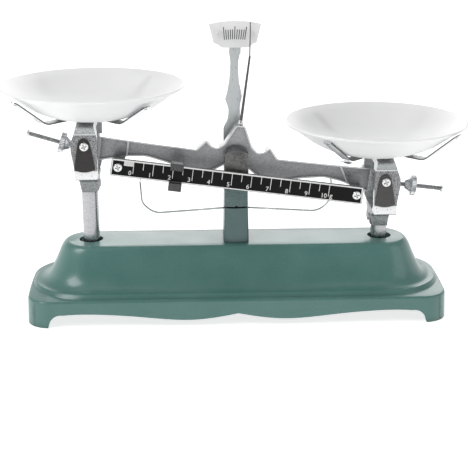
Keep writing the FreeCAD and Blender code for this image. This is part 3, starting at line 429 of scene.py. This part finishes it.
# --------------------------------------------------------------------- scale
def bar_rule(c, n):
    return 0 if n.y < -0.9 else 1


fine("scale_bar", [M["scale_black"], M["bar_edge"]], 0.00012, bar_rule)


def slab(bm, pts, y0, y1):
    """A thin plate between y0 and y1 with the outline pts (u, v)."""
    a = [bm.verts.new((u, y0, v)) for u, v in pts]
    b = [bm.verts.new((u, y1, v)) for u, v in pts]
    bm.faces.new(a)
    bm.faces.new(list(reversed(b)))
    for i in range(len(pts)):
        j = (i + 1) % len(pts)
        bm.faces.new((a[j], a[i], b[i], b[j]))


def rect(bm, u0, u1, v0, v1, y0, y1, lean=0.0):
    slab(bm, [(u0, v0), (u1, v0), (u1 + lean, v1), (u0 + lean, v1)], y0, y1)


PRINT = 0.00006
bm = bmesh.new()
for i in range(21):
    u = SCALE_U0 + STEP * i / 2
    long = i % 2 == 0
    rect(bm, u - 0.00021, u + 0.00021, BAR_V1 - (0.0088 if long else 0.0058), BAR_V1 - 0.0009, BAR_Y0 - PRINT, BAR_Y0 + 0.00002)
rect(bm, SCALE_U0 - 0.0062, SCALE_U0 - 0.0002, BAR_V1 - 0.0040, BAR_V1 - 0.0011, BAR_Y0 - PRINT, BAR_Y0 + 0.00002)
put("scale_marks", bm, "beam", [M["print_white"]], (), 0, BEAM)

bm = bmesh.new()
e = 0.0009
o = [(BAR_U0 + 0.0006, BAR_V1 - 0.0002), (BAR_U1 - 0.0008, BAR_V1 - 0.0002), (BAR_U1 - 0.0002, BAR_V0 + 0.0002), (BAR_U0 + 0.0002, BAR_V0 + 0.0002)]
i4 = [(o[0][0] + e, o[0][1] - e), (o[1][0] - e, o[1][1] - e), (o[2][0] - e, o[2][1] + e * 0.8), (o[3][0] + e, o[3][1] + e * 0.8)]
for k in range(4):
    j = (k + 1) % 4
    slab(bm, [o[k], o[j], i4[j], i4[k]], BAR_Y0 - PRINT * 0.8, BAR_Y0 + 0.00002)
put("scale_border", bm, "beam", [M["bar_edge"]], (), 0, BEAM)


def word(name, s, size, u, v, y, body, mat, matrix, align="RIGHT"):
    cu = bpy.data.curves.new(name + "_c", "FONT")
    cu.body = s
    cu.size = size
    cu.align_x = align
    cu.extrude = PRINT / 2
    cu.resolution_u = 3
    cu.offset = 0.00004
    ob = bpy.data.objects.new(name + "_c", cu)
    scene.collection.objects.link(ob)
    bpy.context.view_layer.update()
    me = bpy.data.meshes.new_from_object(ob.evaluated_get(bpy.context.evaluated_depsgraph_get()))
    bpy.data.objects.remove(ob)
    bpy.data.curves.remove(cu)
    me.name = name
    me.transform(matrix @ Matrix.Translation((u, y, v)) @ Matrix.Rotation(math.pi / 2, 4, "X"))
    me.materials.clear()
    me.materials.append(mat)
    ob = bpy.data.objects.new(name, me)
    scene.collection.objects.link(ob)
    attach(ob, body)
    return ob


for i in range(11):
    u = SCALE_U0 + STEP * i
    word("scale_number_%d" % i, str(i), 0.0041, u - 0.0009, BAR_V0 + 0.0018, BAR_Y0 - PRINT / 2, "beam",
         M["print_white"], BEAM)
word("scale_unit", "g", 0.0045, SCALE_U0 + STEP * 10 + 0.0008, BAR_V0 + 0.0021, BAR_Y0 - PRINT / 2, "beam",
     M["print_white"], BEAM, "LEFT")


def rider_rule(c, n):
    u, y, v = beam_uv(c)
    if n.y < -0.8 and y < -0.0225:
        return 0
    return 1


fine("rider", [M["rider_front"], M["dark_nickel"]], 0.0003, rider_rule)

# ---------------------------------------------------------------------- dial
DIAL_Y = 0.0044
bm = bmesh.new()
for k in range(11):
    t = (k - 5) / 5.0
    xb, xt = -0.0003 + t * 0.0065, t * 0.0074
    long = k in (0, 5, 10)
    z0, z1 = 0.1770 - abs(t) * 0.0003, (0.1852 if long else 0.1833) - abs(t) * 0.0004
    w = 0.00026
    slab(bm, [(xb - w, z0), (xb + w, z0), (xt + w, z1), (xt - w, z1)], DIAL_Y - PRINT, DIAL_Y + 0.00002)
put("dial_marks", bm, "root", [M["print_black"]], (), 0)


# ------------------------------------------------------- rods, nuts and wires
def lathe(rows, seg, name, body, mats, nodes, matrix, smooth=32.0, index=None):
    """rows are rings: (z, radius) or (z, function of angle)."""
    bm = bmesh.new()
    rings = []
    for z, r in rows:
        ring = []
        for k in range(seg):
            a = 2 * math.pi * k / seg
            rr = r(a) if callable(r) else r
            ring.append(bm.verts.new((rr * math.cos(a), rr * math.sin(a), z)))
        rings.append(ring)
    for i in range(len(rings) - 1):
        for k in range(seg):
            j = (k + 1) % seg
            f = bm.faces.new((rings[i][k], rings[i][j], rings[i + 1][j], rings[i + 1][k]))
            if index:
                f.material_index = index(i)
    if rows[0][0] == rows[-1][0] and rows[0][1] == rows[-1][1]:
        pass
    else:
        bm.faces.new(list(reversed(rings[0])))
        bm.faces.new(rings[-1])
    bmesh.ops.remove_doubles(bm, verts=bm.verts, dist=1e-6)
    return put(name, bm, body, mats, nodes, smooth, matrix)


def along(p, d):
    return Matrix.Translation(p) @ Vector((0, 0, 1)).rotation_difference(d).to_matrix().to_4x4()


def thread(name, node, p, d, length, pitch=0.0005, r1=0.00145, r0=0.00122):
    """Threaded rod from p along d in the beam frame, then a small round head."""
    bm = bmesh.new()
    seg, per = 28, 8
    steps = int(length / pitch * per)
    rings = []
    for i in range(steps + 1):
        z = length * i / steps
        ring = []
        for k in range(seg):
            ph = (z / pitch - k / seg) % 1.0
            tri = 1 - abs(2 * ph - 1)
            r = r0 + (r1 - r0) * min(1.0, tri * 1.25)
            if z < 0.0004 or z > length - 0.0003:
                r = r0
            a = 2 * math.pi * k / seg
            ring.append(bm.verts.new((r * math.cos(a), r * math.sin(a), z)))
        rings.append(ring)
    tail = [bm.verts.new((0.00122 * math.cos(2 * math.pi * k / seg), 0.00122 * math.sin(2 * math.pi * k / seg), -0.0034))
            for k in range(seg)]
    rings.insert(0, tail)
    head = [(length, 0.0018), (length + 0.0003, 0.0024), (length + 0.0010, 0.0025), (length + 0.0016, 0.0021), (length + 0.0019, 0.0013),
            (length + 0.0016, 0.0008), (length + 0.0011, 0.00055)]
    for z, r in head:
        rings.append([bm.verts.new((r * math.cos(2 * math.pi * k / seg), r * math.sin(2 * math.pi * k / seg), z))
                      for k in range(seg)])
    nh = len(rings) - len(head) - 1
    for i in range(len(rings) - 1):
        for k in range(seg):
            j = (k + 1) % seg
            f = bm.faces.new((rings[i][k], rings[i][j], rings[i + 1][j], rings[i + 1][k]))
            f.material_index = 1 if i >= nh else 0
    bm.faces.new(list(reversed(rings[0])))
    bm.faces.new(rings[-1])
    return put(name, bm, "beam", [M["rod_steel"], M["bright_screw"]], (node,), 40.0, BEAM @ along(p, d))


la, ra = math.radians(9.5), math.radians(0.6)
LD, RD = Vector((-math.cos(la), 0, math.sin(la))), Vector((math.cos(ra), 0, math.sin(ra)))
LP, RP = Vector((-0.1035, 0, -0.0026)), Vector((0.1035, 0, -0.0019))
thread("left_rod_threaded", "left_adjusting_rod", LP, LD, 0.0318)
thread("right_rod_threaded", "right_adjusting_rod", RP, RD, 0.0340)


def facet(r, n, soft=0.35):
    def f(a):
        s = 2 * math.pi / n
        t = (a % s) - s / 2
        return r * ((1 - soft) * math.cos(s / 2) / math.cos(t) + soft)
    return f


def knurl(r, n, depth):
    def f(a):
        ph = (a * n / (2 * math.pi)) % 1.0
        return r - depth * (1 - abs(2 * ph - 1))
    return f


def nut(name, node, body, p, d):
    b = 0.00151
    rows = [(0.0, b), (0.0, facet(0.0024, 8)), (0.0003, facet(0.0028, 8)), (0.0033, facet(0.0047, 8)), (0.0036, facet(0.0049, 8)),
            (0.0036, 0.0056), (0.0037, 0.0062), (0.0041, knurl(0.0067, 36, 0.0001)), (0.0043, knurl(0.0067, 36, 0.00045)),
            (0.0066, knurl(0.0067, 36, 0.00045)), (0.0069, knurl(0.0067, 36, 0.0001)), (0.0072, 0.0062), (0.0073, 0.0056),
            (0.0073, 0.0030), (0.0071, 0.0027), (0.0071, b), (0.0, b)]
    return lathe(rows, 144, name, body, [M["nut"]], (node,), BEAM @ along(p, d), 28.0)


nut("left_nut_knurled", "left_nut", "left_nut", LP + LD * 0.0046, LD)
nut("right_nut_knurled", "right_nut", "right_nut", RP + RD * 0.0099, RD)

# ---------------------------------------------------------------------- pans
LOOP_TOP, CROSS_T, PAN_SHIFT, PAN_T = 0.0190, 0.0009, 0.0042, 0.0017
FLOOR = LOOP_TOP + CROSS_T + 0.00003
HT = 0.0399 - FLOOR
prof = [(0, 0), (8, 0), (16, 0), (22, 0), (24.0, 0.02), (27.5, 0.8), (34.0, 3.2), (40.0, 6.0), (46.0, 9.9), (50.6, 13.3), (53.4, 15.4),
        (56.5, 17.2), (59.0, 18.5)]
prof = [(r / 1000, z / 1000 * HT / 0.01997) for r, z in prof]


def smooth_line(pts, per=4):
    res = []
    n = len(pts)
    for i in range(n - 1):
        p0, p1, p2, p3 = (Vector(pts[max(i - 1, 0)]), Vector(pts[i]), Vector(pts[i + 1]), Vector(pts[min(i + 2, n - 1)]))
        for k in range(per):
            t = k / per
            q = 0.5 * ((2 * p1) + (p2 - p0) * t + (2 * p0 - 5 * p1 + 4 * p2 - p3) * t * t + (3 * p1 - p0 - 3 * p2 + p3) * t ** 3)
            res.append((q.x, q.y))
    res.append(tuple(pts[-1]))
    return res


low = smooth_line(prof)
upp = []
for i, (r, z) in enumerate(low):
    a, b = low[max(i - 1, 0)], low[min(i + 1, len(low) - 1)]
    dr, dz = b[0] - a[0], b[1] - a[1]
    n = math.hypot(dr, dz)
    upp.append((max(r - dz / n * PAN_T, 0.0), z + dr / n * PAN_T))
rim = []
(r0, z0), (r1, z1) = low[-1], upp[-1]
for k in range(1, 6):
    t = k / 6.0
    bulge = math.sin(math.pi * t) * 0.0009
    rim.append((r0 + (r1 - r0) * t + bulge, z0 + (z1 - z0) * t + bulge * 0.45))


def pan(side, K, sx):
    rows = [(z, max(r, 1e-5)) for r, z in low] + [(z, r) for r, z in rim] + [(z, max(r, 1e-5)) for r, z in reversed(upp)]
    m = Matrix.Translation((K.x + sx * PAN_SHIFT, 0, K.z + FLOOR))
    return lathe(rows, 160, side + "_pan_moulded", side + "_pan", [M["pan_plastic"]], (side + "_pan",), m, 50.0)


pan("right", RK, -1)
pan("left", LK, 1)

fine("stop_wire", [M["wire"]], 0.0, None, 33.0, 50.0, dissolve=0.0)
fine("pointer", [M["steel_dark"]], 0.0, None, 33.0, 50.0, dissolve=0.0)

# --------------------------------------------------------------------- stage
fm, nt, b, co = tree("studio_floor")
n = noise(nt, co, 8.0, 2.0, 0.5)
c = ramp(nt, n.outputs["Fac"], [(0.3, (0.60, 0.60, 0.60, 1)), (0.7, (0.62, 0.62, 0.62, 1))])
nt.links.new(c.outputs["Color"], b.inputs["Base Color"])
b.inputs["Roughness"].default_value = 0.6
b.inputs["Specular IOR Level"].default_value = 0.2
b.inputs["Emission Color"].default_value = (1, 1, 1, 1)
b.inputs["Emission Strength"].default_value = 0.74
me = bpy.data.meshes.new("studio_floor")
bm = bmesh.new()
bmesh.ops.create_circle(bm, cap_ends=True, segments=96, radius=6.0)
bm.to_mesh(me)
bm.free()
me.materials.append(fm)
floor = bpy.data.objects.new("studio_floor", me)
floor.location = (0, 0, -0.0002)
scene.collection.objects.link(floor)

# --------------------------------------------------------------------- light
w = bpy.data.worlds.new("studio")
scene.world = w
w.use_nodes = True
nt = w.node_tree
nt.nodes.clear()
out = nt.nodes.new("ShaderNodeOutputWorld")
bg = nt.nodes.new("ShaderNodeBackground")
bgc = nt.nodes.new("ShaderNodeBackground")
mix = nt.nodes.new("ShaderNodeMixShader")
lp = nt.nodes.new("ShaderNodeLightPath")
co = nt.nodes.new("ShaderNodeTexCoord")
sep = nt.nodes.new("ShaderNodeSeparateXYZ")
nt.links.new(co.outputs["Generated"], sep.inputs["Vector"])
# bright all round at the horizon, darker overhead and in front
up = ramp(nt, sep.outputs["Z"], [(0.0, grey(1.0)), (0.22, grey(1.0)), (0.55, grey(0.33)), (1.0, grey(0.30))])
mr = nt.nodes.new("ShaderNodeMapRange")
mr.inputs["From Min"].default_value = -1.0
mr.inputs["From Max"].default_value = 1.0
nt.links.new(sep.outputs["Y"], mr.inputs["Value"])
fr = ramp(nt, mr.outputs["Result"], [(0.0, grey(0.33)), (0.35, grey(0.50)), (0.62, grey(1.0)), (1.0, grey(1.0))])
col = mix_rgb(nt, 1.0, up.outputs["Color"], fr.outputs["Color"], "MULTIPLY")
nt.links.new(col, bg.inputs["Color"])
bg.inputs["Strength"].default_value = 1.18
bgc.inputs["Color"].default_value = (1, 1, 1, 1)
bgc.inputs["Strength"].default_value = 1.05
nt.links.new(lp.outputs["Is Camera Ray"], mix.inputs["Fac"])
nt.links.new(bg.outputs["Background"], mix.inputs[1])
nt.links.new(bgc.outputs["Background"], mix.inputs[2])
nt.links.new(mix.outputs["Shader"], out.inputs["Surface"])


def area(name, loc, target, size, watts, size_y=None):
    li = bpy.data.lights.new(name, "AREA")
    li.energy = watts
    li.size = size
    if size_y:
        li.shape = "RECTANGLE"
        li.size_y = size_y
    ob = bpy.data.objects.new(name, li)
    ob.location = loc
    ob.rotation_euler = (Vector(target) - Vector(loc)).to_track_quat("-Z", "Y").to_euler()
    scene.collection.objects.link(ob)
    return ob


area("key", (-0.9, -0.5, 1.1), (0, 0, 0.08), 0.7, 11.0)
area("fill", (1.1, -0.6, 0.7), (0, 0, 0.08), 0.8, 2.6)
area("back", (0.2, 1.2, 0.8), (0, 0, 0.08), 1.0, 6.0)

# -------------------------------------------------------------------- camera
F, P, PSI, ROLL = 1217.0278, 0.31374532, 0.03765218, 0.00222583
fw = Vector((math.sin(PSI) * math.cos(P), math.cos(PSI) * math.cos(P), -math.sin(P)))
rt = Vector((math.cos(PSI), -math.sin(PSI), 0))
dn = fw.cross(rt)
if dn.z > 0:
    dn = -dn
r2 = rt * math.cos(ROLL) + dn * math.sin(ROLL)
d2 = -rt * math.sin(ROLL) + dn * math.cos(ROLL)
cam = bpy.data.cameras.new("camera")
cam.sensor_fit = "HORIZONTAL"
cam.sensor_width = 36.0
cam.lens = 36.0 * F / 470.0
cam.clip_start = 0.02
cam.clip_end = 50.0
co = bpy.data.objects.new("camera", cam)
m = Matrix((r2, -d2, -fw)).transposed().to_4x4()
m.translation = (-0.029625, -0.774263, 0.298125)
co.matrix_world = m
scene.collection.objects.link(co)
scene.camera = co
scene.view_settings.view_transform = "Standard"

bpy.context.view_layer.update()
